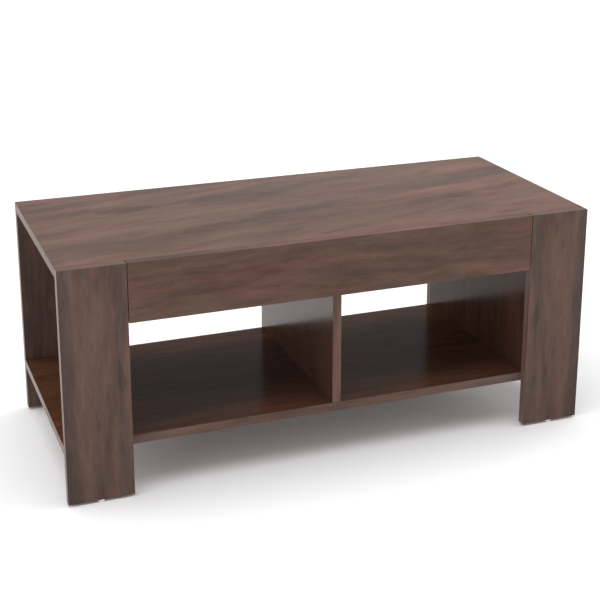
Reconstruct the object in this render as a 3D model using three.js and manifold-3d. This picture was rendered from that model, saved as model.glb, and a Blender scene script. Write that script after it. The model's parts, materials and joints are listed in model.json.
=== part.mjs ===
// Lift top coffee table: a board carcass with an open shelf, and a top that swings up and forward on a
// pair of parallel-arm lift mechanisms, over a hidden compartment.
// Millimetres, +Z up. The front faces -Y, the length runs along X, and the origin is on the floor under
// the middle of the table. The table is drawn closed.

import * as THREE from 'three';
import { mergeVertices } from 'three/addons/utils/BufferGeometryUtils.js';
import Module from 'manifold-3d';

const wasm = await Module();
wasm.setup();

// ---- Driving dimensions -------------------------------------------------------------------------

const LENGTH = 1100;
const DEPTH = 472;
const HEIGHT = 470;
const BOARD = 18;               // thickness of every board
const LEG_WIDTH = 128;
const APRON_HEIGHT = 117;
const SHELF_TOP = 118;          // height of the shelf's upper face above the floor

const GLIDE_HEIGHT = 5;
const GLIDE_RADIUS = 7.5;
const GLIDE_CHAMFER = 0.8;

const TOUCH = 0.3;              // gap left between pieces that bear on each other
const TOP_REST = 2;             // gap under the closed top, taken up by the bumpers
const TOP_FRONT_GAP = 0.8;      // between the top's front edge and the leg boards
const APRON_REVEAL = 0.5;       // the apron's face sits this far behind the leg boards' faces
const APRON_SIDE_GAP = 1.5;
const APRON_BACK_GAP = 3;       // the compartment floor stops this far behind the apron
const FLOOR_RISE = 1;           // the compartment floor's underside, above the apron's lower edge
const BUMPER = { top: 4.5, base: 5, inset: 30 };    // radii, and distance in from the leg boards

// Lift mechanism, seen along X: y points to the rear and z up.
const ARM_LENGTH = 190;
const ARM_WIDTH = 18;
const ARM_DROOP = 3;            // degrees below horizontal, pointing to the rear, when closed
const MAIN_PIVOT = { y: -60, z: 397 };
const FOLLOWER_OFFSET = { y: -60, z: 29 };
const LUG_RADIUS = 22;          // spring lug's distance from the main arm's base pivot
const LUG_ANGLE = 26.5;         // degrees from the arm's centre line
const LUG_EAR = 5;
const SPRING_ANCHOR_Y = -205;
const SPRING_RADIUS = 7;
const SPRING_INSET = 20;        // spring's centre line from the side panel's inner face

// Layers of the mechanism, as distances in from the side panel's inner face.
const BASE_PLATE = [TOUCH, 2.8];
const ARM_LAYER = [4, 7];
const TOP_PLATE = [7.8, 10.3];
const TOP_FLANGE_REACH = 34;
const FLANGE_THICKNESS = 2.2;

const RIVET_RADIUS = 4;
const RIVET_HEAD = { radius: 7, height: 2 };
const PIN = { radius: 2.5, head: 4, height: 1.5, sunk: 10, hole: 12 };
const SCREW = { shank: 1.75, head: 3.8, height: 1.6, length: 14, point: 3, hole: 13 };
const TIP_SHARE = 0.3;          // a screw tip's radius, as a share of its shank's
const CROWN_SHARE = 0.7;        // a head's flat crown, as a share of its radius
const ROUND = 16;               // sides of a small round piece
const DISC = 24;                // sides of a glide
const CURVE_STEPS = 6;          // steps in an arc of a plate's outline
const OVERCUT = 0.5;            // how far a hole's cutter stands out at each end
const MERGE = 1e-4;             // points closer than this are one vertex

// ---- Derived positions --------------------------------------------------------------------------

const X_END = LENGTH / 2;
const X_LEG = X_END - LEG_WIDTH;            // leg boards' inner edge, and the side panels' inner face
const Y_FACE = DEPTH / 2;
const Y_BACK = Y_FACE - BOARD;              // inner face of the leg boards
const Z_UNDER_TOP = HEIGHT - BOARD;
const Z_CASE = Z_UNDER_TOP - TOP_REST;      // upper edge of the case's boards
const Z_APRON = HEIGHT - APRON_HEIGHT;
const Z_FLOOR = Z_APRON + FLOOR_RISE;       // underside of the compartment floor
const Y_TOP_FRONT = -Y_BACK + TOP_FRONT_GAP;
const Y_APRON_BACK = -Y_BACK + APRON_REVEAL;
const FOLLOWER_PIVOT = { y: MAIN_PIVOT.y + FOLLOWER_OFFSET.y, z: MAIN_PIVOT.z + FOLLOWER_OFFSET.z };

const radians = THREE.MathUtils.degToRad;
const armEnd = (pivot) => ({
  y: pivot.y + ARM_LENGTH * Math.cos(radians(-ARM_DROOP)),
  z: pivot.z + ARM_LENGTH * Math.sin(radians(-ARM_DROOP)),
});
const MAIN_END = armEnd(MAIN_PIVOT);
const FOLLOWER_END = armEnd(FOLLOWER_PIVOT);
const LUG = {
  y: MAIN_PIVOT.y + LUG_RADIUS * Math.cos(radians(LUG_ANGLE - ARM_DROOP)),
  z: MAIN_PIVOT.z + LUG_RADIUS * Math.sin(radians(LUG_ANGLE - ARM_DROOP)),
};

// ---- Materials ----------------------------------------------------------------------------------

const finish = (color, roughness, metalness) => ({ color, roughness, metalness });
const WALNUT = finish(0x6b5248, 0.38, 0);
const WALNUT_TOP = finish(0x85736a, 0.34, 0);
const ZINC = finish(0xb4b6b8, 0.35, 1);
const BLACK_STEEL = finish(0x2b2c2e, 0.45, 0.8);
const SPRING_STEEL = finish(0x8f9296, 0.3, 1);
const NICKEL = finish(0xc4c5c6, 0.25, 1);
const CLEAR_RUBBER = finish(0xd9d9d4, 0.5, 0);

// ---- Geometry helpers ---------------------------------------------------------------------------

function piece(name, geometry, look) {
  const mesh = new THREE.Mesh(geometry, new THREE.MeshStandardMaterial(look));
  mesh.name = name;
  return mesh;
}

function solidOf(geometry) {
  const bare = geometry.clone();
  bare.deleteAttribute('normal');
  bare.deleteAttribute('uv');
  const merged = mergeVertices(bare, MERGE);
  return new wasm.Manifold(new wasm.Mesh({
    numProp: 3,
    vertProperties: new Float32Array(merged.attributes.position.array),
    triVerts: new Uint32Array(merged.index.array),
  }));
}

function geometryOf(solid) {
  const mesh = solid.getMesh();
  const geometry = new THREE.BufferGeometry();
  geometry.setAttribute('position', new THREE.BufferAttribute(mesh.vertProperties, 3));
  geometry.setIndex(new THREE.BufferAttribute(mesh.triVerts, 1));
  return geometry;
}

// A pilot hole for a fastener: where it enters, the way it goes in, and the fastener's radius.
const hole = (at, into, radius, depth) => ({ at, into, radius: radius + TOUCH, depth });

function drill(geometry, centre, holes) {
  let solid = solidOf(geometry);
  for (const { at, into, radius, depth } of holes) {
    const cutter = new THREE.CylinderGeometry(radius, radius, depth + 2 * OVERCUT, ROUND);
    cutter.translate(0, depth / 2 - OVERCUT, 0);
    cutter.applyQuaternion(new THREE.Quaternion().setFromUnitVectors(new THREE.Vector3(0, 1, 0), into));
    cutter.translate(at.x - centre.x, at.y - centre.y, at.z - centre.z);
    solid = solid.subtract(solidOf(cutter));
  }
  return geometryOf(solid);
}

// A board between two values on each axis, with the holes drilled in it.
function board(name, [x0, x1], [y0, y1], [z0, z1], look = WALNUT, holes = []) {
  const centre = new THREE.Vector3((x0 + x1) / 2, (y0 + y1) / 2, (z0 + z1) / 2);
  const box = new THREE.BoxGeometry(x1 - x0, y1 - y0, z1 - z0);
  const mesh = piece(name, holes.length ? drill(box, centre, holes) : box, look);
  mesh.position.copy(centre);
  return mesh;
}

// A turned fastener, with its head above the origin and its shank down -Y.
function headed(shank, length, head, height, point = 0) {
  const outline = [
    [0, -length], [shank * (point ? TIP_SHARE : 1), -length], [shank, -length + point], [shank, 0],
    [head, 0], [head, height / 2], [head * CROWN_SHARE, height], [0, height],
  ];
  const points = outline.filter(([r, y], i) => i === 0 || r !== outline[i - 1][0] || y !== outline[i - 1][1]);
  return new THREE.LatheGeometry(points.map(([r, y]) => new THREE.Vector2(r, y)), ROUND);
}

// Places a turned fastener with its head's bearing face at a point, and its head facing a direction.
function fastener(name, geometry, at, facing, look) {
  const mesh = piece(name, geometry, look);
  mesh.position.set(at.x, at.y, at.z);
  mesh.quaternion.setFromUnitVectors(new THREE.Vector3(0, 1, 0), facing);
  return mesh;
}

function screw(name, at, facing) {
  const turned = headed(SCREW.shank, SCREW.length, SCREW.head, SCREW.height, SCREW.point);
  return fastener(name, turned, at, facing, ZINC);
}

// A flat plate in the plane of the mechanism: the outline is drawn with y across and z up, and the
// plate lies between two values of x.
function sidePlate(outline, x0, x1) {
  const geometry = new THREE.ExtrudeGeometry(outline, {
    depth: x1 - x0, bevelEnabled: false, curveSegments: CURVE_STEPS,
  });
  geometry.applyMatrix4(new THREE.Matrix4().makeBasis(
    new THREE.Vector3(0, 1, 0), new THREE.Vector3(0, 0, 1), new THREE.Vector3(1, 0, 0)));
  geometry.translate(x0, 0, 0);
  return geometry;
}

function roundHole(outline, y, z, radius) {
  const path = new THREE.Path();
  path.absarc(y, z, radius, 0, 2 * Math.PI, true);
  outline.holes.push(path);
}

function roundedRectangle(y0, y1, z0, z1, corner) {
  const outline = new THREE.Shape();
  outline.absarc(y1 - corner, z0 + corner, corner, -Math.PI / 2, 0);
  outline.absarc(y1 - corner, z1 - corner, corner, 0, Math.PI / 2);
  outline.absarc(y0 + corner, z1 - corner, corner, Math.PI / 2, Math.PI);
  outline.absarc(y0 + corner, z0 + corner, corner, Math.PI, 1.5 * Math.PI);
  outline.closePath();
  return outline;
}

// The two ends of a layer of the mechanism, in order, on the left (-1) or right (+1) side.
function layer(side, [near, far]) {
  const ends = [side * (X_LEG - near), side * (X_LEG - far)];
  return [Math.min(...ends), Math.max(...ends)];
}

const SIDES = [['left', -1], ['right', 1]];
const UP = new THREE.Vector3(0, 0, 1);
const DOWN = new THREE.Vector3(0, 0, -1);
const REAR = new THREE.Vector3(0, 1, 0);
const FRONT = new THREE.Vector3(0, -1, 0);
const outward = (side) => new THREE.Vector3(side, 0, 0);
const inward = (side) => new THREE.Vector3(-side, 0, 0);

// ---- Places of the fasteners --------------------------------------------------------------------

// Base bracket screws, clear of the arms' sweep.
const BASE_SCREWS = { front: { y: -145, z: 432 }, middle: { y: -100, z: 381 }, rear: { y: -20, z: 380.5 } };
const BASE_PLATE_Y = [-158, 2];
const BASE_PLATE_Z = [374.5, 444];
const BASE_PLATE_CORNER = 8;

const TOP_SCREW_INSET = 24;     // from the side panel's inner face
const TOP_SCREWS_Y = { front: -105, middle: 10, rear: 125 };
const TOP_PLATE_Y = [-130, 150];
const TOP_PLATE_DEPTH = 10;
const TAB_RADIUS = 11;
const FLANGE = { inset: 4, corner: 3 };

const CORNER_BRACKET = { x: 300, width: 40, reach: 26, drop: 20, screw: 14 };

const flangeFace = Z_UNDER_TOP - TOUCH - FLANGE_THICKNESS;

const baseScrewAt = (side, { y, z }) =>
  ({ x: side * (X_LEG - BASE_PLATE[1] - TOUCH), y, z });
const topScrewAt = (side, y) =>
  ({ x: side * (X_LEG - TOP_SCREW_INSET), y, z: flangeFace - TOUCH });
const cornerTopScrewAt = (side) => ({
  x: side * CORNER_BRACKET.x, y: Y_APRON_BACK + CORNER_BRACKET.screw, z: flangeFace - TOUCH,
});
const cornerFrontScrewAt = (side) => ({
  x: side * CORNER_BRACKET.x,
  y: Y_APRON_BACK + 2 * TOUCH + FLANGE_THICKNESS,
  z: Z_UNDER_TOP - CORNER_BRACKET.screw,
});

// ---- Case ---------------------------------------------------------------------------------------

function legs() {
  const boards = [];
  for (const [name, side] of SIDES) {
    const x = [side * X_END, side * X_LEG].sort((a, b) => a - b);
    boards.push(board(`leg_front_${name}`, x, [-Y_FACE, -Y_BACK], [GLIDE_HEIGHT, HEIGHT]));
    boards.push(board(`leg_rear_${name}`, x, [Y_BACK, Y_FACE], [GLIDE_HEIGHT, Z_CASE]));
  }
  return boards;
}

function glides() {
  const top = GLIDE_HEIGHT - TOUCH;
  const outline = [[0, 0], [GLIDE_RADIUS - GLIDE_CHAMFER, 0], [GLIDE_RADIUS, GLIDE_CHAMFER],
    [GLIDE_RADIUS, top], [0, top]];
  const discs = [];
  for (const [name, side] of SIDES) {
    for (const [place, way] of [['front', -1], ['rear', 1]]) {
      const geometry = new THREE.LatheGeometry(outline.map(([r, y]) => new THREE.Vector2(r, y)), DISC);
      const disc = piece(`glide_${place}_${name}`, geometry, NICKEL);
      disc.rotation.x = Math.PI / 2;
      disc.position.set(side * (X_END - LEG_WIDTH / 2), way * (Y_FACE - BOARD / 2), 0);
      discs.push(disc);
    }
  }
  return discs;
}

function panels() {
  const inside = X_LEG - TOUCH;
  const between = Y_BACK - TOUCH;
  const list = [
    board('rear_apron', [-inside, inside], [Y_BACK, Y_FACE], [Z_APRON, Z_CASE]),
    board('compartment_floor', [-inside, inside],
      [Y_APRON_BACK + APRON_BACK_GAP, between], [Z_FLOOR, Z_FLOOR + BOARD]),
    board('centre_divider', [-BOARD / 2, BOARD / 2], [Y_APRON_BACK + TOUCH, between],
      [SHELF_TOP + TOUCH, Z_FLOOR - TOUCH]),
    board('lower_shelf', [-X_END, X_END], [-between, between], [SHELF_TOP - BOARD, SHELF_TOP]),
  ];
  for (const [name, side] of SIDES) {
    const x = [side * X_LEG, side * (X_LEG + BOARD)].sort((a, b) => a - b);
    const face = (y, z) => ({ x: side * X_LEG, y, z });
    const holes = Object.values(BASE_SCREWS).map(({ y, z }) =>
      hole(face(y, z), outward(side), SCREW.shank, SCREW.hole));
    holes.push(hole(face(SPRING_ANCHOR_Y, LUG.z), outward(side), PIN.radius, PIN.hole));
    list.push(board(`side_panel_${name}`, x, [-between, between], [SHELF_TOP + TOUCH, Z_CASE],
      WALNUT, holes));
  }
  return list;
}

function bumpers() {
  const discs = [];
  const thickness = TOP_REST - 2 * TOUCH;
  for (const [name, side] of SIDES) {
    for (const [place, way] of [['front', -1], ['rear', 1]]) {
      const disc = piece(`bumper_${place}_${name}`,
        new THREE.CylinderGeometry(BUMPER.top, BUMPER.base, thickness, ROUND), CLEAR_RUBBER);
      disc.rotation.x = Math.PI / 2;
      disc.position.set(side * (X_LEG + BOARD / 2), way * (Y_BACK - BUMPER.inset),
        Z_CASE + TOUCH + thickness / 2);
      discs.push(disc);
    }
  }
  return discs;
}

function baseBracket(name, side) {
  const outline = roundedRectangle(...BASE_PLATE_Y, ...BASE_PLATE_Z, BASE_PLATE_CORNER);
  for (const { y, z } of [MAIN_PIVOT, FOLLOWER_PIVOT]) roundHole(outline, y, z, RIVET_RADIUS + TOUCH);
  for (const { y, z } of Object.values(BASE_SCREWS)) roundHole(outline, y, z, SCREW.shank + TOUCH);
  return piece(`base_bracket_${name}`, sidePlate(outline, ...layer(side, BASE_PLATE)), BLACK_STEEL);
}

function baseFasteners(name, side) {
  const list = [];
  const shank = ARM_LAYER[1] - BASE_PLATE[0] + TOUCH;
  const x = side * (X_LEG - ARM_LAYER[1] - TOUCH);
  for (const [arm, { y, z }] of [['main', MAIN_PIVOT], ['follower', FOLLOWER_PIVOT]]) {
    const rivet = headed(RIVET_RADIUS, shank, RIVET_HEAD.radius, RIVET_HEAD.height);
    list.push(fastener(`base_rivet_${arm}_${name}`, rivet, { x, y, z }, inward(side), ZINC));
  }
  for (const [place, at] of Object.entries(BASE_SCREWS)) {
    list.push(screw(`base_screw_${place}_${name}`, baseScrewAt(side, at), inward(side)));
  }
  const reach = SPRING_INSET + SPRING_RADIUS;
  const pin = headed(PIN.radius, reach + PIN.sunk, PIN.head, PIN.height);
  const at = { x: side * (X_LEG - reach), y: SPRING_ANCHOR_Y, z: LUG.z };
  list.push(fastener(`spring_anchor_${name}`, pin, at, inward(side), ZINC));
  return list;
}

// The extension spring's envelope, from just behind the anchor pin to just in front of the lug pin.
function spring(name, side) {
  const ends = [SPRING_ANCHOR_Y + PIN.radius + TOUCH, LUG.y - PIN.radius - TOUCH];
  const coil = piece(`lift_spring_${name}`,
    new THREE.CylinderGeometry(SPRING_RADIUS, SPRING_RADIUS, ends[1] - ends[0], ROUND), SPRING_STEEL);
  coil.position.set(side * (X_LEG - SPRING_INSET), (ends[0] + ends[1]) / 2, LUG.z);
  return coil;
}

// ---- Arms ---------------------------------------------------------------------------------------

// An arm along +y from its base pivot at the origin, with rivet holes at both ends. The main arm has an
// ear for the spring lug on its upper edge.
function armOutline(withEar) {
  const half = ARM_WIDTH / 2;
  const outline = new THREE.Shape();
  outline.absarc(0, 0, half, Math.PI / 2, 1.5 * Math.PI);
  outline.absarc(ARM_LENGTH, 0, half, -Math.PI / 2, Math.PI / 2);
  if (withEar) {
    const ear = [LUG_RADIUS * Math.cos(radians(LUG_ANGLE)), LUG_RADIUS * Math.sin(radians(LUG_ANGLE))];
    const meet = Math.asin((half - ear[1]) / LUG_EAR);
    outline.absarc(...ear, LUG_EAR, meet, Math.PI - meet);
    roundHole(outline, ...ear, PIN.radius + TOUCH);
  }
  outline.closePath();
  roundHole(outline, 0, 0, RIVET_RADIUS + TOUCH);
  roundHole(outline, ARM_LENGTH, 0, RIVET_RADIUS + TOUCH);
  return outline;
}

function arm(name, pivot, side, withEar) {
  const mesh = piece(name, sidePlate(armOutline(withEar), ...layer(side, ARM_LAYER)), BLACK_STEEL);
  mesh.position.set(0, pivot.y, pivot.z);
  mesh.rotation.x = radians(-ARM_DROOP);
  return mesh;
}

// The pin that the spring hooks on, riveted through the main arm's ear.
function lugPin(name, side) {
  const reach = SPRING_INSET + SPRING_RADIUS;
  const pin = headed(PIN.radius, reach - ARM_LAYER[0], PIN.head, PIN.height);
  const at = { x: side * (X_LEG - reach), y: LUG.y, z: LUG.z };
  return fastener(`spring_lug_${name}`, pin, at, inward(side), ZINC);
}

// ---- Lifting top --------------------------------------------------------------------------------

function topBoards() {
  const topHoles = [];
  const apronHoles = [];
  for (const [, side] of SIDES) {
    for (const y of Object.values(TOP_SCREWS_Y)) {
      topHoles.push(hole({ ...topScrewAt(side, y), z: Z_UNDER_TOP }, UP, SCREW.shank, SCREW.hole));
    }
    topHoles.push(hole({ ...cornerTopScrewAt(side), z: Z_UNDER_TOP }, UP, SCREW.shank, SCREW.hole));
    apronHoles.push(hole({ ...cornerFrontScrewAt(side), y: Y_APRON_BACK }, FRONT, SCREW.shank, SCREW.hole));
  }
  const apronEnd = X_LEG - APRON_SIDE_GAP;
  return [
    board('lift_top', [-X_END, X_END], [Y_TOP_FRONT, Y_FACE], [Z_UNDER_TOP, HEIGHT], WALNUT_TOP, topHoles),
    board('front_apron', [-apronEnd, apronEnd], [Y_APRON_BACK - BOARD, Y_APRON_BACK], [Z_APRON, HEIGHT],
      WALNUT, apronHoles),
  ];
}

// Angle bracket under the top: a flange that is screwed up, and a plate whose tab holds the two arms.
function topBracket(name, side) {
  const across = Math.atan2(MAIN_END.z - FOLLOWER_END.z, MAIN_END.y - FOLLOWER_END.y);
  const lower = 2 * Math.PI + across - Math.PI / 2;
  const plateLow = Z_UNDER_TOP - TOP_PLATE_DEPTH;
  const outline = new THREE.Shape();
  outline.moveTo(TOP_PLATE_Y[0], Z_UNDER_TOP - TOUCH);
  outline.lineTo(TOP_PLATE_Y[0], plateLow);
  outline.lineTo(FOLLOWER_END.y - 2 * TAB_RADIUS, plateLow);
  outline.absarc(FOLLOWER_END.y, FOLLOWER_END.z, TAB_RADIUS, Math.PI, lower);
  outline.absarc(MAIN_END.y, MAIN_END.z, TAB_RADIUS, lower, 2 * Math.PI);
  outline.lineTo(TOP_PLATE_Y[1], plateLow);
  outline.lineTo(TOP_PLATE_Y[1], Z_UNDER_TOP - TOUCH);
  outline.closePath();
  for (const { y, z } of [MAIN_END, FOLLOWER_END]) roundHole(outline, y, z, RIVET_RADIUS + TOUCH);
  const plate = sidePlate(outline, ...layer(side, TOP_PLATE));

  const [x0, x1] = layer(side, [(TOP_PLATE[0] + TOP_PLATE[1]) / 2, TOP_FLANGE_REACH]);
  const [front, rear] = TOP_PLATE_Y;
  const flangeShape = roundedRectangle(x0, x1, front + FLANGE.inset, rear - FLANGE.inset, FLANGE.corner);
  for (const y of Object.values(TOP_SCREWS_Y)) {
    roundHole(flangeShape, topScrewAt(side, y).x, y, SCREW.shank + TOUCH);
  }
  const flange = new THREE.ExtrudeGeometry(flangeShape, {
    depth: FLANGE_THICKNESS, bevelEnabled: false, curveSegments: CURVE_STEPS,
  });
  flange.translate(0, 0, flangeFace);
  return piece(`top_bracket_${name}`, geometryOf(solidOf(plate).add(solidOf(flange))), BLACK_STEEL);
}

function topFasteners(name, side) {
  const list = [];
  const shank = TOP_PLATE[1] - ARM_LAYER[0] + TOUCH;
  const x = side * (X_LEG - TOP_PLATE[1] - TOUCH);
  for (const [arm, { y, z }] of [['main', MAIN_END], ['follower', FOLLOWER_END]]) {
    const rivet = headed(RIVET_RADIUS, shank, RIVET_HEAD.radius, RIVET_HEAD.height);
    list.push(fastener(`top_rivet_${arm}_${name}`, rivet, { x, y, z }, inward(side), ZINC));
  }
  for (const [place, y] of Object.entries(TOP_SCREWS_Y)) {
    list.push(screw(`top_screw_${place}_${name}`, topScrewAt(side, y), DOWN));
  }
  return list;
}

// Small angle that ties the apron to the top from inside.
function cornerBracket(name, side) {
  const { x, width, reach, drop } = CORNER_BRACKET;
  const back = Y_APRON_BACK + TOUCH;
  const under = Z_UNDER_TOP - TOUCH;
  const outline = new THREE.Shape();
  outline.moveTo(back, under);
  outline.lineTo(back, under - drop);
  outline.lineTo(back + FLANGE_THICKNESS, under - drop);
  outline.lineTo(back + FLANGE_THICKNESS, under - FLANGE_THICKNESS);
  outline.lineTo(back + reach, under - FLANGE_THICKNESS);
  outline.lineTo(back + reach, under);
  outline.closePath();
  const bare = sidePlate(outline, side * x - width / 2, side * x + width / 2);
  const geometry = drill(bare, new THREE.Vector3(), [
    hole({ ...cornerTopScrewAt(side), z: under - FLANGE_THICKNESS }, UP, SCREW.shank, FLANGE_THICKNESS),
    hole({ ...cornerFrontScrewAt(side), y: back + FLANGE_THICKNESS }, FRONT, SCREW.shank, FLANGE_THICKNESS),
  ]);
  return piece(`apron_bracket_${name}`, geometry, ZINC);
}

// ---- Assembly, one group for each body that moves as one ------------------------------------------

const table = new THREE.Group();
const caseBody = new THREE.Group();
const topBody = new THREE.Group();

caseBody.add(...legs(), ...panels(), ...glides(), ...bumpers());
topBody.add(...topBoards());
for (const [name, side] of SIDES) {
  caseBody.add(baseBracket(name, side), ...baseFasteners(name, side), spring(name, side));

  const mainArm = new THREE.Group();
  mainArm.add(arm(`main_arm_${name}`, MAIN_PIVOT, side, true), lugPin(name, side));
  const followerArm = new THREE.Group();
  followerArm.add(arm(`follower_arm_${name}`, FOLLOWER_PIVOT, side, false));
  table.add(mainArm, followerArm);

  topBody.add(topBracket(name, side), ...topFasteners(name, side), cornerBracket(name, side));
  topBody.add(screw(`apron_bracket_screw_up_${name}`, cornerTopScrewAt(side), DOWN));
  topBody.add(screw(`apron_bracket_screw_front_${name}`, cornerFrontScrewAt(side), REAR));
}
table.add(caseBody, topBody);

export default table;
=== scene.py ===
# Lift top coffee table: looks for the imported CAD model. Metres, +Z up, front towards -Y.
import json
import math

import bmesh
import bpy
from mathutils import Matrix, Vector


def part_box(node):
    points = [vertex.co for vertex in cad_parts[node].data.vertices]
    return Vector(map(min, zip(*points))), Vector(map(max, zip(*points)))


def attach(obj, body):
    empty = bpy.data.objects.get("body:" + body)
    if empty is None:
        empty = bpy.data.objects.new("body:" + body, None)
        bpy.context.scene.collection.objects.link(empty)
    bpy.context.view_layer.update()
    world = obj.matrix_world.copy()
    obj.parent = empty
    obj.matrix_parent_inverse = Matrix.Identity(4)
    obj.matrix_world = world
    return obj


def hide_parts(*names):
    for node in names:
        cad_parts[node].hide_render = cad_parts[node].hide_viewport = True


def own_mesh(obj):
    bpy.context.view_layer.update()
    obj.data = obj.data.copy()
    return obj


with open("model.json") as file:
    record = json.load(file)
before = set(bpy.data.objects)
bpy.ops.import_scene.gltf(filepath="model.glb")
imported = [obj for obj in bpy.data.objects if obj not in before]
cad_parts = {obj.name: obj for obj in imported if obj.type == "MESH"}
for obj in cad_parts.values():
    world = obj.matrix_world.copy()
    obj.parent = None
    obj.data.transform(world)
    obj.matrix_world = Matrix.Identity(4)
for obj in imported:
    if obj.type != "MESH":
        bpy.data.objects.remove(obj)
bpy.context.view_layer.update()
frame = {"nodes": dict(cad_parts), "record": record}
NODES = frame["nodes"]
BODIES = frame["record"]["behaviour"]["bodies"]
BODY_OF = {node: body for body, nodes in BODIES.items() for node in nodes}

MM = 0.001
SIDES = ("left", "right")
ENDS = ("front", "rear")


# ---- Shader nodes -----------------------------------------------------------------------------------

MIX_FACTOR, MIX_A, MIX_B = 0, 6, 7      # the sockets of a colour mix
MIX_COLOUR = 2                          # and its output
NOISE_SPAN = (0.3, 0.7)                 # a noise mostly stays between these


class Tree:
    """A node tree, with short calls for the nodes that the looks share."""

    def __init__(self, node_tree):
        self.node_tree = node_tree

    def node(self, kind, **settings):
        made = self.node_tree.nodes.new(kind)
        for key, value in settings.items():
            setattr(made, key, value)
        return made

    def link(self, output, target):
        self.node_tree.links.new(output, target)

    def feed(self, target, value):
        """Links a socket, or sets a plain value."""
        if isinstance(value, bpy.types.NodeSocket):
            self.link(value, target)
        else:
            target.default_value = value

    def math(self, operation, a, b=0.0):
        made = self.node("ShaderNodeMath", operation=operation)
        self.feed(made.inputs[0], a)
        self.feed(made.inputs[1], b)
        return made.outputs[0]

    def times(self, value, share):
        return self.math("MULTIPLY", value, share)

    def vector(self, operation, a, b):
        made = self.node("ShaderNodeVectorMath", operation=operation)
        self.feed(made.inputs[0], a)
        self.feed(made.inputs[1], b)
        return made.outputs[0]

    def brightened(self, colour, strength):
        made = self.node("ShaderNodeVectorMath", operation="SCALE")
        self.link(colour, made.inputs[0])
        self.link(strength, made.inputs["Scale"])
        return made.outputs[0]

    def apart(self, vector):
        made = self.node("ShaderNodeSeparateXYZ")
        self.link(vector, made.inputs[0])
        return list(made.outputs)

    def joined(self, x, y, z):
        made = self.node("ShaderNodeCombineXYZ")
        for target, value in zip(made.inputs, (x, y, z)):
            self.feed(target, value)
        return made.outputs[0]

    def noise(self, place, scale=1.0, detail=2.0, roughness=0.5):
        made = self.node("ShaderNodeTexNoise", noise_dimensions="3D")
        self.link(place, made.inputs["Vector"])
        made.inputs["Scale"].default_value = scale
        made.inputs["Detail"].default_value = detail
        made.inputs["Roughness"].default_value = roughness
        return made.outputs["Fac"]

    def spread(self, value, low, high, to_low=0.0, to_high=1.0):
        """Goes smoothly from to_low to to_high as the value goes from low to high."""
        made = self.node("ShaderNodeMapRange", interpolation_type="SMOOTHSTEP")
        self.link(value, made.inputs["Value"])
        made.inputs["From Min"].default_value = low
        made.inputs["From Max"].default_value = high
        made.inputs["To Min"].default_value = to_low
        made.inputs["To Max"].default_value = to_high
        return made.outputs["Result"]

    def mix(self, factor, a, b, blend="MIX"):
        made = self.node("ShaderNodeMix", data_type="RGBA", blend_type=blend)
        self.feed(made.inputs[MIX_FACTOR], factor)
        self.feed(made.inputs[MIX_A], a)
        self.feed(made.inputs[MIX_B], b)
        return made.outputs[MIX_COLOUR]

    def ramp(self, noise, dark, light):
        """A colour that follows a noise, from dark to light."""
        made = self.node("ShaderNodeValToRGB")
        self.link(noise, made.inputs["Fac"])
        for point, at, colour in zip(made.color_ramp.elements, NOISE_SPAN, (dark, light)):
            point.position = at
            point.color = (*colour, 1)
        return made.outputs["Color"]


class Finish(Tree):
    """A material with one Principled shader."""

    def __init__(self, name):
        self.material = bpy.data.materials.new(name)
        self.material.use_nodes = True
        super().__init__(self.material.node_tree)
        self.node_tree.nodes.clear()
        self.shader = self.node("ShaderNodeBsdfPrincipled")
        output = self.node("ShaderNodeOutputMaterial")
        self.link(self.shader.outputs["BSDF"], output.inputs["Surface"])

    def set(self, name, value):
        self.feed(self.shader.inputs[name], value)

    def bump(self, height, strength, distance):
        made = self.node("ShaderNodeBump")
        self.link(height, made.inputs["Height"])
        made.inputs["Strength"].default_value = strength
        made.inputs["Distance"].default_value = distance
        self.set("Normal", made.outputs["Normal"])

    def place(self):
        """The point in the row frame, in metres: every piece is modelled where it stands."""
        return self.node("ShaderNodeTexCoord").outputs["Object"]


# ---- Walnut print -----------------------------------------------------------------------------------

# The print's own brown, the redder, yellower and greyer patches in it, and its pores.
BROWN = (0.113, 0.0690, 0.0540, 1)
RED = (0.155, 0.0800, 0.0640, 1)
OLIVE = (0.122, 0.0800, 0.0570, 1)
GREY = (0.086, 0.0620, 0.0550, 1)
PORE = (0.020, 0.010, 0.007, 1)

# Each noise's cells per metre along the grain, across it and into the board, its detail and roughness.
NOISES = {
    "sway": ((1.3, 3.0, 3.0), 1, 0.5),
    "ripple": ((13.0, 26.0, 20.0), 4, 0.65),
    "stretch": ((2.4, 7.0, 4.0), 1, 0.5),
    "broad": ((3.4, 22.0, 9.0), 4, 0.55),
    "mottle": ((15.0, 75.0, 40.0), 4, 0.65),
    "line": ((9.0, 260.0, 150.0), 2, 0.6),
    "fibre": ((24.0, 700.0, 400.0), 2, 0.6),
    "knot": ((9.0, 26.0, 12.0), 3, 0.6),
    "redder": ((4.2, 34.0, 13.0), 5, 0.65),
    "yellower": ((6.5, 85.0, 31.0), 4, 0.6),
    "greyer": ((2.6, 30.0, 17.0), 4, 0.6),
    "pore": ((70.0, 1700.0, 1700.0), 1, 0.5),
}
# Where a patchy noise starts to show, and where it shows in full.
PATCHES = {
    "stretch": (0.40, 0.62),
    "knot": (0.60, 0.74),
    "redder": (0.44, 0.60),
    "yellower": (0.46, 0.62),
    "greyer": (0.50, 0.66),
    "pore": (0.66, 0.76),
}
NOISE_MIDDLE = 0.5

SWAY, RIPPLE = 0.06, 0.022          # how far the streaks are pushed sideways, in metres
FLOW_LAYER = 0.37                   # moves the streaks' noises away from the ones that push them

# How much of the light and dark comes from each layer.
BROAD, MOTTLE, LINE, FIBRE, KNOT = 0.80, 0.60, 0.34, 0.12, 0.22
LEVEL_REACH = 0.5                   # how far from zero the streaks are darkest and lightest
DARKEST, LIGHTEST = 0.56, 1.44      # as shares of the tone

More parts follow.
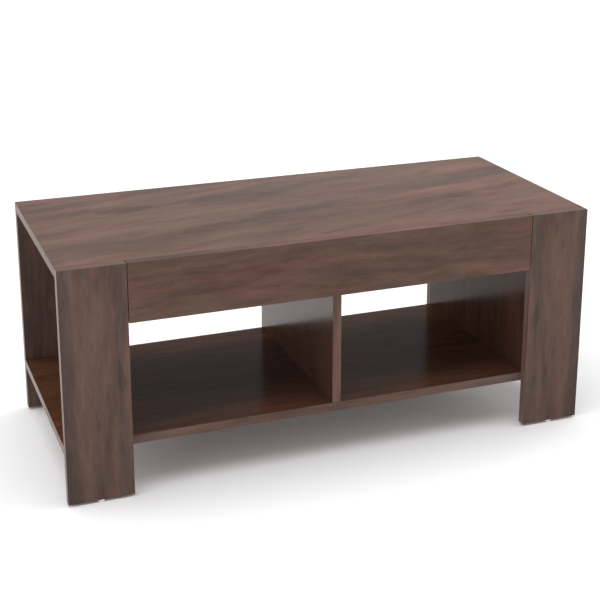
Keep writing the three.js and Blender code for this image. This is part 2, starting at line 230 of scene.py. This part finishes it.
STRIPE_COVER = 0.9                  # how grey a stripe is
STRIPE_DARK = 0.12                  # how much it darkens the level
STRIPE_FADE = (0.6, 1.3)            # where its edge starts and ends, in stripe widths
STRIPE_WAVE = 0.03                  # how far its edge wanders, in metres

OLIVE_REACH = 1.1                   # the yellower patches' strength where no redder ones gather
DEEPEN = (0.0, 0.6, 1.0)            # how much depth takes from red, green and blue

PORE_COVER = 0.40
LINE_ROUGHNESS, PORE_ROUGHNESS = 0.08, 0.15
FIBRE_RELIEF = 0.5                  # the fibres' height, as a share of the pores' depth
RELIEF_STRENGTH = 0.12
RELIEF = 0.05 * MM


def third_axis(first, second):
    """The axis, 0 to 2, that is neither of two others."""
    return 3 - first - second


def print_noise(tree, name, place):
    cells, detail, roughness = NOISES[name]
    return tree.noise(tree.vector("MULTIPLY", place, cells), detail=detail, roughness=roughness)


def patches(tree, name, place, least=0.0, most=1.0):
    """Patches of a noise, with their strength between them and in them."""
    return tree.spread(print_noise(tree, name, place), *PATCHES[name], least, most)


def board_space(tree, grain, normal, origin, slant, size, flip):
    """The point along, across and into the board, slanted and sized, and the true distance across."""
    parts = tree.apart(tree.vector("SUBTRACT", tree.place(), origin))
    along, across, deep = parts[grain], parts[third_axis(grain, normal)], parts[normal]
    if flip:
        across = tree.times(across, -1.0)
    slanted = tree.math("SUBTRACT", across, tree.times(along, slant))
    return tree.vector("MULTIPLY", tree.joined(along, slanted, deep), (1 / size,) * 3), across


def light_and_dark(tree, flow, line, fibre, contrast):
    """How light the streaks are, about zero."""
    layers = (
        (print_noise(tree, "broad", flow), BROAD),
        (print_noise(tree, "mottle", flow), MOTTLE),
        (line, LINE),
        (fibre, FIBRE),
    )
    level = 0.0
    for layer, weight in layers:
        change = tree.times(tree.math("SUBTRACT", layer, NOISE_MIDDLE), weight * contrast)
        level = tree.math("ADD", change, level)
    return tree.math("SUBTRACT", level, tree.times(patches(tree, "knot", flow), KNOT))


def grey_stripe(tree, across, ripple, at, width):
    """A stripe along the low side of the face, with an uneven edge."""
    wave = tree.times(tree.math("SUBTRACT", ripple, NOISE_MIDDLE), STRIPE_WAVE)
    start, end = (at + share * width for share in STRIPE_FADE)
    return tree.spread(tree.math("ADD", across, wave), start, end, STRIPE_COVER, 0.0)


def print_colour(tree, plain, flow, red, blush, greyness, depth):
    """The brown and its patches. The redder ones gather in some stretches of the board, and the
    yellower ones lie between."""
    gathered = patches(tree, "stretch", plain, blush, 1.0)
    redness = tree.math("MULTIPLY", patches(tree, "redder", flow, 0.0, red), gathered)
    spared = tree.math("SUBTRACT", OLIVE_REACH, gathered)
    yellowness = tree.math("MULTIPLY", patches(tree, "yellower", flow), spared)
    colour = tree.mix(redness, BROWN, RED)
    colour = tree.mix(yellowness, colour, OLIVE)
    colour = tree.mix(greyness, colour, GREY)
    if depth:
        deeper = [1 - share * depth for share in DEEPEN]
        colour = tree.mix(1.0, colour, (*deeper, 1), blend="MULTIPLY")
    return colour


def walnut(name, grain, normal, origin, tone=1.0, contrast=1.0, red=0.6, blush=0.2, grey=0.85, depth=0.0,
           slant=0.0, size=1.0, flip=False, stripe=None, roughness=0.33, ior=1.20):
    """Walnut-print melamine.

    grain, normal     the axes, 0 to 2, that the streaks run along and that the face looks along
    origin            a point that shifts the print
    tone, contrast    how light it is, and how strong the light and dark streaks are
    red, blush        how red the redder patches are, and how much of that shows where they are fewest
    grey, depth       how grey the greyer patches are, and how much deeper the whole colour is
    slant, size       how far the streaks climb across the board for each metre, and how large they are
    flip, stripe      mirrors the print; a greyer stripe's place across the board, and its width
    roughness, ior    of the coating"""
    tree = Finish(name)
    plain, across = board_space(tree, grain, normal, origin, slant, size, flip)

    # The streaks wander sideways along the board, and their outlines are uneven.
    ripple = print_noise(tree, "ripple", plain)
    sway = print_noise(tree, "sway", plain)
    drift = tree.math("ADD", tree.times(sway, SWAY), tree.times(ripple, RIPPLE))
    flow = tree.vector("ADD", plain, tree.joined(0.0, drift, FLOW_LAYER))

    # The finest marks keep their size.
    fine = tree.vector("MULTIPLY", flow, (size,) * 3)
    line = print_noise(tree, "line", fine)
    fibre = print_noise(tree, "fibre", fine)
    pore = patches(tree, "pore", fine)

    level = light_and_dark(tree, flow, line, fibre, contrast)
    greyness = patches(tree, "greyer", flow, 0.0, grey)
    if stripe:
        striped = grey_stripe(tree, across, ripple, *stripe)
        greyness = tree.math("MAXIMUM", greyness, striped)
        level = tree.math("SUBTRACT", level, tree.times(striped, STRIPE_DARK))
    colour = print_colour(tree, plain, flow, red, blush, greyness, depth)
    light = tree.spread(level, -LEVEL_REACH, LEVEL_REACH, DARKEST * tone, LIGHTEST * tone)
    lit = tree.brightened(colour, light)
    tree.set("Base Color", tree.mix(tree.times(pore, PORE_COVER), lit, PORE))

    sheen = tree.math("ADD", tree.times(line, LINE_ROUGHNESS), roughness - LINE_ROUGHNESS / 2)
    tree.set("Roughness", tree.math("ADD", sheen, tree.times(pore, PORE_ROUGHNESS)))
    tree.set("IOR", ior)
    tree.bump(tree.math("SUBTRACT", tree.times(fibre, FIBRE_RELIEF), pore), RELIEF_STRENGTH, RELIEF)
    return tree.material


# ---- Metal and rubber -------------------------------------------------------------------------------

SCRATCHES = (300.0, 2600.0, 900.0)      # the plating's noise cells per metre along X, Y and Z


def powder_coat():
    tree = Finish("black_powder_coat")
    grain = tree.noise(tree.place(), scale=1400)
    cloud = tree.noise(tree.place(), scale=30, detail=3)
    tree.set("Base Color", tree.ramp(cloud, dark=(0.012, 0.012, 0.013), light=(0.022, 0.022, 0.023)))
    tree.set("Roughness", tree.spread(grain, *NOISE_SPAN, to_low=0.36, to_high=0.52))
    tree.bump(grain, strength=0.35, distance=0.06 * MM)
    return tree.material


def plated(name, dark, light, smooth, rough, scale=160):
    """Plated steel: cloudy tone and fine scratches in the plating."""
    tree = Finish(name)
    cloud = tree.noise(tree.place(), scale=scale, detail=4, roughness=0.6)
    scratch = tree.noise(tree.vector("MULTIPLY", tree.place(), SCRATCHES))
    tree.set("Base Color", tree.ramp(cloud, dark, light))
    tree.set("Roughness", tree.spread(scratch, *NOISE_SPAN, smooth, rough))
    tree.set("Metallic", 1.0)
    tree.bump(scratch, strength=0.15, distance=0.03 * MM)
    return tree.material


def soft_clear():
    tree = Finish("soft_bumper")
    cloud = tree.noise(tree.place(), scale=240, detail=3)
    tree.set("Base Color", tree.ramp(cloud, dark=(0.62, 0.62, 0.60), light=(0.78, 0.78, 0.76)))
    tree.set("Roughness", tree.spread(cloud, *NOISE_SPAN, to_low=0.25, to_high=0.4))
    tree.set("Transmission Weight", 0.35)
    return tree.material


ZINC = plated("zinc_plate", dark=(0.50, 0.51, 0.52), light=(0.68, 0.69, 0.70), smooth=0.22, rough=0.40)
NICKEL = plated("nickel_plate", dark=(0.80, 0.79, 0.78), light=(0.90, 0.89, 0.88), smooth=0.25, rough=0.40)
SPRING_STEEL = plated("spring_wire", dark=(0.30, 0.31, 0.33), light=(0.48, 0.49, 0.51), smooth=0.22,
                      rough=0.38, scale=400)
BLACK = powder_coat()
RUBBER = soft_clear()


# ---- Boards -----------------------------------------------------------------------------------------

FACE, EDGE, BAND, CROWN = range(4)      # a board's material slots
EDGE_TONE = 1.12                        # the long edges and the end banding are lighter than the faces
BAND_TONE = 1.25
EDGE_SHIFT = Vector((0.31, 0.17, 0.23))
BAND_SHIFT = Vector((0.11, 0.29, 0.07))
FACING_UP = 0.5                         # the least height of an upper face's normal

BOARD_BEVEL = 0.6 * MM
METAL_BEVEL = 0.35 * MM
BEVEL_SEGMENTS = 2
BEVEL_ANGLE = math.radians(30)

LEG_STRIPE = 24 * MM
OUTSIDE_EDGE = {"tone": 0.92, "red": 0.6, "depth": 0.05}
TOP_EDGE = {"tone": 0.80, "red": 1.0, "ior": 1.12}
# The inside boards are darker, warmer copies of the same walnut: painted shade for the shade inside the
# table. Their edges, out in the light, keep the outside boards' tone.
SHADED_INSIDE = {"tone": 0.42, "red": 1.0, "grey": 0.25, "depth": 0.42, "roughness": 0.18, "ior": 1.20,
          "edge": OUTSIDE_EDGE}
# The shelf and the divider are shaded copies too, each with its own painted shade.
SHADED_SHELF = {**SHADED_INSIDE, "tone": 0.72, "depth": 0.50, "ior": 1.24}
SHADED_DIVIDER = {**SHADED_INSIDE, "tone": 0.52, "depth": 0.38, "ior": 1.32}


def bevel(obj, width):
    made = obj.modifiers.new("edges", "BEVEL")
    made.width = width
    made.segments = BEVEL_SEGMENTS
    made.limit_method = "ANGLE"
    made.angle_limit = BEVEL_ANGLE
    made.use_clamp_overlap = True


def slot_of(face, thin, along, crown):
    """Which of a board's materials a face has, by the way that it looks."""
    way = max(range(3), key=lambda axis: abs(face.normal[axis]))
    if way == thin:
        return FACE
    if way == along:
        return BAND
    # An edge facing up takes the lighter banding: partly a painted highlight of the light from above.
    return CROWN if crown and face.normal.z > FACING_UP else EDGE


def dress_board(node, grain, shift, crown=False, stripe=None, flip=False, edge=None, **look):
    """Gives a board its faces, its long edges and its end banding.

    grain     the axis that the streaks run along
    shift     moves the print, so that no two boards match
    crown     puts the upper edge, which faces up, in the lighter banding too: partly a painted highlight
    stripe    the width of a greyer stripe along the low side of the face
    flip      mirrors the face's print
    edge      a look for the edges and the banding, when it isn't the face's own"""
    obj = NODES[node]
    lo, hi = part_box(node)
    size = hi - lo
    thin = min(range(3), key=lambda axis: size[axis])
    along = "XYZ".index(grain)
    across = third_axis(thin, along)
    origin = lo - Vector(shift)
    face_origin = origin.copy()
    if flip:
        face_origin[across] = hi[across] + shift[across]
    if stripe:
        stripe = (shift[across], stripe)
    edge = dict(edge or {**look, "slant": 0})
    tone = edge.pop("tone")
    banding = {**edge, "tone": tone * BAND_TONE}
    looks = [
        walnut(f"{node}_face", along, thin, face_origin, flip=flip, stripe=stripe, **look),
        walnut(f"{node}_edge", along, across, origin + EDGE_SHIFT, tone=tone * EDGE_TONE, **edge),
        walnut(f"{node}_band", across, along, origin + BAND_SHIFT, **banding),
    ]
    # The upper edge's lighter banding is partly a painted highlight of the light from above.
    if crown:
        looks.append(walnut(f"{node}_crown", along, across, origin + BAND_SHIFT, **banding))
    obj.data.materials.clear()
    for made in looks:
        obj.data.materials.append(made)
    for face in obj.data.polygons:
        face.material_index = slot_of(face, thin, along, crown)
    bevel(obj, BOARD_BEVEL)


def boards():
    for side in SIDES:
        mirrored = side == "right"
        dress_board(f"leg_front_{side}", "Z", (0.02, 0.31, 0.05), tone=0.89, red=0.45, blush=0.5,
                    depth=0.04, stripe=LEG_STRIPE, flip=mirrored)
        dress_board(f"leg_rear_{side}", "Z", (0.43, 0.12, 0.37), tone=0.89, red=0.5, flip=mirrored)
        # The side panels carry the inside boards' painted shade.
        dress_board(f"side_panel_{side}", "Z", (0.71, 0.33, 0.21), **SHADED_INSIDE)
    dress_board("lift_top", "X", (0.9, 0.15, 0.4), tone=1.04, contrast=1.15, red=1.0, blush=0.7, grey=0.70,
                slant=0.16, size=2.2, roughness=0.24, ior=1.16, edge=TOP_EDGE)
    dress_board("front_apron", "X", (0.35, 0.22, 0.15), crown=True, tone=0.83, contrast=1.15, red=0.8,
                blush=0.45, grey=0.6, depth=0.10, size=1.4)
    dress_board("rear_apron", "X", (0.61, 0.42, 0.55), tone=0.89)
    # The shelf, the compartment floor and the divider carry painted shade.
    dress_board("lower_shelf", "X", (0.25, 0.62, 0.75), **SHADED_SHELF)
    dress_board("compartment_floor", "X", (0.85, 0.72, 0.35), **SHADED_INSIDE)
    dress_board("centre_divider", "Z", (0.15, 0.52, 0.95), **SHADED_DIVIDER)


# ---- Lift mechanism plates --------------------------------------------------------------------------

def dress_metal(node, look):
    """Gives a plate one material all over, and a fine bevel."""
    obj = NODES[node]
    obj.data.materials.clear()
    obj.data.materials.append(look)
    for face in obj.data.polygons:
        face.material_index = 0
    bevel(obj, METAL_BEVEL)


def plates():
    for side in SIDES:
        for part in ("base_bracket", "main_arm", "follower_arm", "top_bracket"):
            dress_metal(f"{part}_{side}", BLACK)
        dress_metal(f"apron_bracket_{side}", ZINC)


# ---- Pieces that stand for CAD nodes ----------------------------------------------------------------

def centre_of(node):
    lo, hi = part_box(node)
    return (lo + hi) / 2


def inward_face(node):
    """The middle of a node's end that faces the table's middle, and the way that it faces."""
    lo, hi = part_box(node)
    middle = (lo + hi) / 2
    inward = 1 if middle.x < 0 else -1
    return Vector((hi.x if inward > 0 else lo.x, middle.y, middle.z)), Vector((inward, 0, 0))


def add_piece(name, mesh, look, replaced, matrix=Matrix.Identity(4)):
    """Adds a mesh that stands for a CAD node, in the node's place, riding on its body."""
    placed = mesh.copy()
    placed.name = name
    placed.transform(matrix)
    placed.materials.clear()
    placed.materials.append(look)
    obj = bpy.data.objects.new(name, placed)
    bpy.context.scene.collection.objects.link(obj)
    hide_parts(replaced)
    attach(obj, BODY_OF[replaced])
    return obj


def facing(direction, at):
    """A matrix that puts +Z along a direction, at a point."""
    turn = Vector((0, 0, 1)).rotation_difference(Vector(direction))
    return Matrix.Translation(at) @ turn.to_matrix().to_4x4()


ON_AXIS = 1e-9              # a smaller radius is a point on the axis
TURNED_SIDES, GLIDE_SIDES, SCREW_SIDES = 48, 64, 32


def lathe_mesh(name, profile, sides=TURNED_SIDES):
    """Turns a profile of (radius, height) points about Z, from the axis and back to it."""
    mesh = bpy.data.meshes.new(name)
    bm = bmesh.new()
    rings = []
    for radius, height in profile:
        if radius < ON_AXIS:
            rings.append([bm.verts.new((0, 0, height))])
        else:
            turns = (2 * math.pi * i / sides for i in range(sides))
            rings.append([bm.verts.new((radius * math.cos(a), radius * math.sin(a), height)) for a in turns])
    for low, high in zip(rings, rings[1:]):
        for i in range(sides):
            j = (i + 1) % sides
            corners = [low[0]] if len(low) == 1 else [low[i], low[j]]
            corners += [high[0]] if len(high) == 1 else [high[j], high[i]]
            bm.faces.new(corners)
    bmesh.ops.recalc_face_normals(bm, faces=bm.faces)
    for face in bm.faces:
        face.smooth = True
    bm.to_mesh(mesh)
    bm.free()
    return mesh


def sharp_by_angle(mesh, degrees=35):
    """Smooths the edges where faces meet at less than an angle, and keeps the others sharp."""
    bm = bmesh.new()
    bm.from_mesh(mesh)
    for edge in bm.edges:
        edge.smooth = len(edge.link_faces) == 2 and edge.calc_face_angle(0) < math.radians(degrees)
    bm.to_mesh(mesh)
    bm.free()


def quarter_turn(steps):
    """Even angles from 0 to a right angle."""
    return [math.pi / 2 * i / steps for i in range(steps + 1)]


def dome(radius, base, height, steps=6):
    """Profile points of a shallow dome, from its rim at base up to the axis."""
    return [(radius * math.cos(a), base + height * math.sin(a)) for a in quarter_turn(steps)]


# ---- Rivets and pins --------------------------------------------------------------------------------

RIVET = {"crown": 2.0 * MM, "shank": 4.0 * MM}      # the head's height and the shank's radius
PIN = {"crown": 1.5 * MM, "shank": 2.5 * MM}
EASE = 0.3 * MM             # chamfer on a turned edge
RIM_LOW = 0.25 * MM         # the rim of a domed head
RIM_HIGH = 0.5 * MM


def rivets_and_pins():
    """Turned pins with domed heads, in place of the plain ones."""
    for node in NODES:
        if not node.startswith(("base_rivet", "top_rivet", "spring_lug", "spring_anchor")):
            continue
        form = RIVET if "rivet" in node else PIN
        crown, shank = form["crown"], form["shank"]
        lo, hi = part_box(node)
        head = (hi.y - lo.y) / 2
        tip = crown - (hi.x - lo.x)
        profile = [(0, tip), (shank - EASE, tip), (shank, tip + EASE), (shank, 0), (head - EASE, 0),
                   (head, RIM_LOW)]
        profile += dome(head, RIM_HIGH, crown - RIM_HIGH)
        mesh = lathe_mesh(node, profile)
        sharp_by_angle(mesh, degrees=50)
        end, inward = inward_face(node)
        add_piece(f"{node}_turned", mesh, ZINC, node, facing(inward, end - crown * inward))


# ---- Glides and bumpers -----------------------------------------------------------------------------

GLIDE_ROUND = 0.9 * MM      # radius of the rounding round a glide's foot
GLIDE_STEPS = 5
GLIDE_FLAT = 0.6            # an edge ring in the flat foot, as a share of the foot's radius
BUMPER_WALL = 0.3           # height of a bumper's upright side, as a share of the whole
DOME_STEPS = 8


def standing_on(node):
    """A matrix that puts the origin in the middle of a node's lower face."""
    lo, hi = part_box(node)
    return Matrix.Translation(((lo.x + hi.x) / 2, (lo.y + hi.y) / 2, lo.z))


def glides():
    for side in SIDES:
        for end in ENDS:
            node = f"glide_{end}_{side}"
            lo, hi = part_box(node)
            radius, height = (hi.x - lo.x) / 2, hi.z - lo.z
            foot = radius - GLIDE_ROUND
            profile = [(0, 0), (foot * GLIDE_FLAT, 0)]
            profile += [(foot + GLIDE_ROUND * math.sin(a), GLIDE_ROUND - GLIDE_ROUND * math.cos(a))
                        for a in quarter_turn(GLIDE_STEPS)]
            profile += [(radius, height - EASE), (radius - EASE, height), (0, height)]
            mesh = lathe_mesh(node, profile, GLIDE_SIDES)
            sharp_by_angle(mesh, degrees=50)
            add_piece(f"{node}_turned", mesh, NICKEL, node, standing_on(node))


def bumpers():
    for side in SIDES:
        for end in ENDS:
            node = f"bumper_{end}_{side}"
            lo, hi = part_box(node)
            radius, height = (hi.x - lo.x) / 2, hi.z - lo.z
            profile = [(0, 0), (radius, 0)]
            profile += dome(radius, BUMPER_WALL * height, (1 - BUMPER_WALL) * height, DOME_STEPS)
            mesh = lathe_mesh(node, profile)
            sharp_by_angle(mesh, degrees=60)
            add_piece(f"{node}_domed", mesh, RUBBER, node, standing_on(node))


# ---- Cross-head screws ------------------------------------------------------------------------------

SCREW_HEAD = 3.8 * MM       # radius of the head
SCREW_CROWN = 1.6 * MM      # height of the head
SCREW_RIM = 0.5 * MM        # height of the head's upright rim
SCREW_EDGE = 0.2 * MM       # chamfer under the rim
SCREW_SHANK = 1.75 * MM     # radius of the shank
SCREW_LENGTH = 14 * MM
SCREW_POINT = 3 * MM        # length of the tapered tip
SCREW_TIP = 0.4 * MM        # radius at its end

RECESS_ARM = 2.0 * MM       # from the screw's axis to the end of the cross
RECESS_HALF = 0.42 * MM     # half the width of an arm
RECESS_TAPER = 0.6          # the recess's floor, as a share of its mouth
RECESS_FLOOR = 0.45 * MM    # height of the floor above the head's seat
RECESS_OVERCUT = 0.3 * MM   # how far the cutter reaches above the head


def recess_cutter():
    """A cross that narrows downwards, reaching a little above the screw's head."""
    mesh = bpy.data.meshes.new("recess")
    bm = bmesh.new()
    arm, half = RECESS_ARM, RECESS_HALF
    quarter = [(arm, -half), (arm, half), (half, half)]
    outline = []
    for _ in range(4):
        outline += quarter
        quarter = [(-y, x) for x, y in quarter]
    low = [bm.verts.new((x * RECESS_TAPER, y * RECESS_TAPER, RECESS_FLOOR)) for x, y in outline]
    high = [bm.verts.new((x, y, SCREW_CROWN + RECESS_OVERCUT)) for x, y in outline]
    for i in range(len(outline)):
        j = (i + 1) % len(outline)
        bm.faces.new((low[i], low[j], high[j], high[i]))
    bm.faces.new(reversed(low))
    bm.faces.new(high)
    bmesh.ops.recalc_face_normals(bm, faces=bm.faces)
    bm.to_mesh(mesh)
    bm.free()
    return mesh


def screw_mesh():
    """One pan-head screw, with a cross recess cut in its head."""
    profile = [(0, -SCREW_LENGTH), (SCREW_TIP, -SCREW_LENGTH), (SCREW_SHANK, -SCREW_LENGTH + SCREW_POINT),
               (SCREW_SHANK, 0), (SCREW_HEAD - SCREW_EDGE, 0), (SCREW_HEAD, SCREW_EDGE)]
    profile += dome(SCREW_HEAD, SCREW_RIM, SCREW_CROWN - SCREW_RIM, DOME_STEPS)
    blank = bpy.data.objects.new("screw_blank", lathe_mesh("screw", profile, SCREW_SIDES))
    cutter = bpy.data.objects.new("recess", recess_cutter())
    for obj in (blank, cutter):
        bpy.context.scene.collection.objects.link(obj)
    cut = blank.modifiers.new("recess", "BOOLEAN")
    cut.operation = "DIFFERENCE"
    cut.solver = "EXACT"
    cut.object = cutter
    bpy.context.view_layer.update()
    graph = bpy.context.evaluated_depsgraph_get()
    result = bpy.data.meshes.new_from_object(blank.evaluated_get(graph))
    for obj in (blank, cutter):
        bpy.data.objects.remove(obj)
    sharp_by_angle(result)
    return result


def screw_seat(node):
    """Where a screw's head meets its plate, and the way that the head faces."""
    lo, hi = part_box(node)
    middle = (lo + hi) / 2
    if node.startswith("base_screw"):
        end, inward = inward_face(node)
        return end - SCREW_CROWN * inward, inward
    if node.startswith("apron_bracket_screw_front"):
        return Vector((middle.x, hi.y - SCREW_CROWN, middle.z)), Vector((0, 1, 0))
    return Vector((middle.x, middle.y, lo.z + SCREW_CROWN)), Vector((0, 0, -1))


def screws():
    mesh = screw_mesh()
    for node in NODES:
        if "screw" in node:
            at, way = screw_seat(node)
            add_piece(f"{node}_cross_head", mesh, ZINC, node, facing(way, at))


# ---- Springs ----------------------------------------------------------------------------------------

WIRE = 1.6 * MM             # diameter
COILS = 42
COIL_STEPS = 16
NECK = 0.35                 # the coil's radius where it runs into a hook, as a share of the full one
NECK_STEPS = 10
LEAD = 9 * MM               # from a pin's centre to the first coil
HOOK = 4.6 * MM             # the hook's radius round its pin
HOOK_STEPS = 14
HOOK_START, HOOK_TURN = -60, 270        # degrees round the pin


def tube_mesh(name, path, radius, sides=10):
    """A round wire along a path, closed at both ends."""
    mesh = bpy.data.meshes.new(name)
    bm = bmesh.new()
    rings = []
    normal = Vector((1, 0, 0))
    for i, point in enumerate(path):
        ahead = path[min(i + 1, len(path) - 1)] - path[max(i - 1, 0)]
        ahead.normalize()
        normal = (normal - ahead * normal.dot(ahead)).normalized()
        binormal = ahead.cross(normal)
        turns = (2 * math.pi * k / sides for k in range(sides))
        rings.append([bm.verts.new(point + (normal * math.cos(a) + binormal * math.sin(a)) * radius)
                      for a in turns])
    for low, high in zip(rings, rings[1:]):
        for k in range(sides):
            m = (k + 1) % sides
            bm.faces.new((low[k], low[m], high[m], high[k]))
    bm.faces.new(list(reversed(rings[0])))
    bm.faces.new(rings[-1])
    bmesh.ops.recalc_face_normals(bm, faces=bm.faces)
    for face in bm.faces:
        face.smooth = len(face.verts) == 4
    bm.to_mesh(mesh)
    bm.free()
    return mesh


def hook_path(x, y, z, way):
    """A hook, from its tip to the coil. It goes round the rear of a pin when way is 1, and the front
    when way is -1."""
    angles = [math.radians(HOOK_START + HOOK_TURN * i / HOOK_STEPS) for i in range(HOOK_STEPS + 1)]
    return [Vector((x, y + way * HOOK * math.cos(a), z + HOOK * math.sin(a))) for a in angles]


def coil_path(x, z, start, end, radius):
    """Close coils from start to end along Y, narrowing to the neck at each end."""
    steps = COILS * COIL_STEPS
    points = []
    for i in range(steps + 1):
        a = 2 * math.pi * COILS * i / steps - math.pi / 2
        ease = min(1.0, i / NECK_STEPS, (steps - i) / NECK_STEPS)
        reach = radius * (NECK + (1 - NECK) * ease)
        y = start + (end - start) * i / steps
        points.append(Vector((x + reach * math.cos(a), y, z + reach * math.sin(a))))
    return points


def springs():
    for side in SIDES:
        node = f"lift_spring_{side}"
        lo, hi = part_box(node)
        middle = (lo + hi) / 2
        front, rear = centre_of(f"spring_anchor_{side}").y, centre_of(f"spring_lug_{side}").y
        coil_radius = (hi.z - lo.z) / 2 - WIRE / 2
        path = hook_path(middle.x, front, middle.z, -1)
        path += coil_path(middle.x, middle.z, front + LEAD, rear - LEAD, coil_radius)
        path += reversed(hook_path(middle.x, rear, middle.z, 1))
        obj = add_piece(f"{node}_coil", tube_mesh(node, path, WIRE / 2), SPRING_STEEL, node)
        # The lug swings evenly about the pivot's upright, so the spring stays in line and only shortens.
        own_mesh(obj)


# ---- Stage: pale floor, soft light, camera ----------------------------------------------------------

FLOOR_REACH = 14.0
FLOOR_DARK, FLOOR_LIGHT = (0.88,) * 3, (0.90,) * 3

# The surroundings' strength by height and by side, each as low, high, strength at low, strength at high.
HORIZON = (0.02, 0.38, 1.0, 0.28)
SIDE_GLOW = (0.55, 0.90, 0.0, 2.4)
KEY_POWER = 2.3
KEY_SPREAD = math.radians(68)
KEY_FROM = Vector((-0.10, 0.03, 1.0))

CAMERA_PLACE = (-0.9153, -2.4366, 1.2408)
CAMERA_TURN, CAMERA_TILT = math.radians(20.66), math.radians(-15.90)
CAMERA_SENSOR, CAMERA_LENS = 36, 78.05      # millimetres
CAMERA_SHIFT = -0.18        # looks lower with less tilt, so that the legs stay nearly upright
CAMERA_CLIP = (0.05, 60)


def floor():
    mesh = bpy.data.meshes.new("floor")
    reach = FLOOR_REACH
    mesh.from_pydata([(-reach, -reach, 0), (reach, -reach, 0), (reach, reach, 0), (-reach, reach, 0)],
                     [], [(0, 1, 2, 3)])
    tree = Finish("floor_paper")
    tree.set("Base Color", tree.ramp(tree.noise(tree.place(), scale=0.8), FLOOR_DARK, FLOOR_LIGHT))
    tree.set("Roughness", 0.9)
    tree.set("Specular IOR Level", 0.1)
    mesh.materials.append(tree.material)
    obj = bpy.data.objects.new("floor", mesh)
    bpy.context.scene.collection.objects.link(obj)


def surroundings():
    """White surroundings, brightest at the horizon and at the two sides."""
    world = bpy.data.worlds.new("studio")
    world.use_nodes = True
    tree = Tree(world.node_tree)
    x, _, z = tree.apart(tree.node("ShaderNodeTexCoord").outputs["Generated"])
    horizon = tree.spread(z, *HORIZON)
    sides = tree.spread(tree.math("ABSOLUTE", x), *SIDE_GLOW)
    background = world.node_tree.nodes["Background"]
    background.inputs["Color"].default_value = (1, 1, 1, 1)
    tree.link(tree.math("ADD", horizon, sides), background.inputs["Strength"])
    bpy.context.scene.world = world


def key_light():
    """A broad soft light from almost overhead."""
    sun = bpy.data.lights.new("key", "SUN")
    sun.energy = KEY_POWER
    sun.angle = KEY_SPREAD
    key = bpy.data.objects.new("key", sun)
    key.rotation_euler = (-KEY_FROM).to_track_quat("-Z", "Y").to_euler()
    bpy.context.scene.collection.objects.link(key)


def camera():
    data = bpy.data.cameras.new("camera")
    data.sensor_width = CAMERA_SENSOR
    data.lens = CAMERA_LENS
    data.shift_y = CAMERA_SHIFT
    data.clip_start, data.clip_end = CAMERA_CLIP
    obj = bpy.data.objects.new("camera", data)
    obj.location = CAMERA_PLACE
    obj.rotation_euler = (math.pi / 2 + CAMERA_TILT, 0, -CAMERA_TURN)
    bpy.context.scene.collection.objects.link(obj)
    bpy.context.scene.camera = obj


boards()
plates()
rivets_and_pins()
glides()
bumpers()
screws()
springs()
floor()
surroundings()
key_light()
camera()
bpy.context.scene.view_settings.view_transform = "Standard"
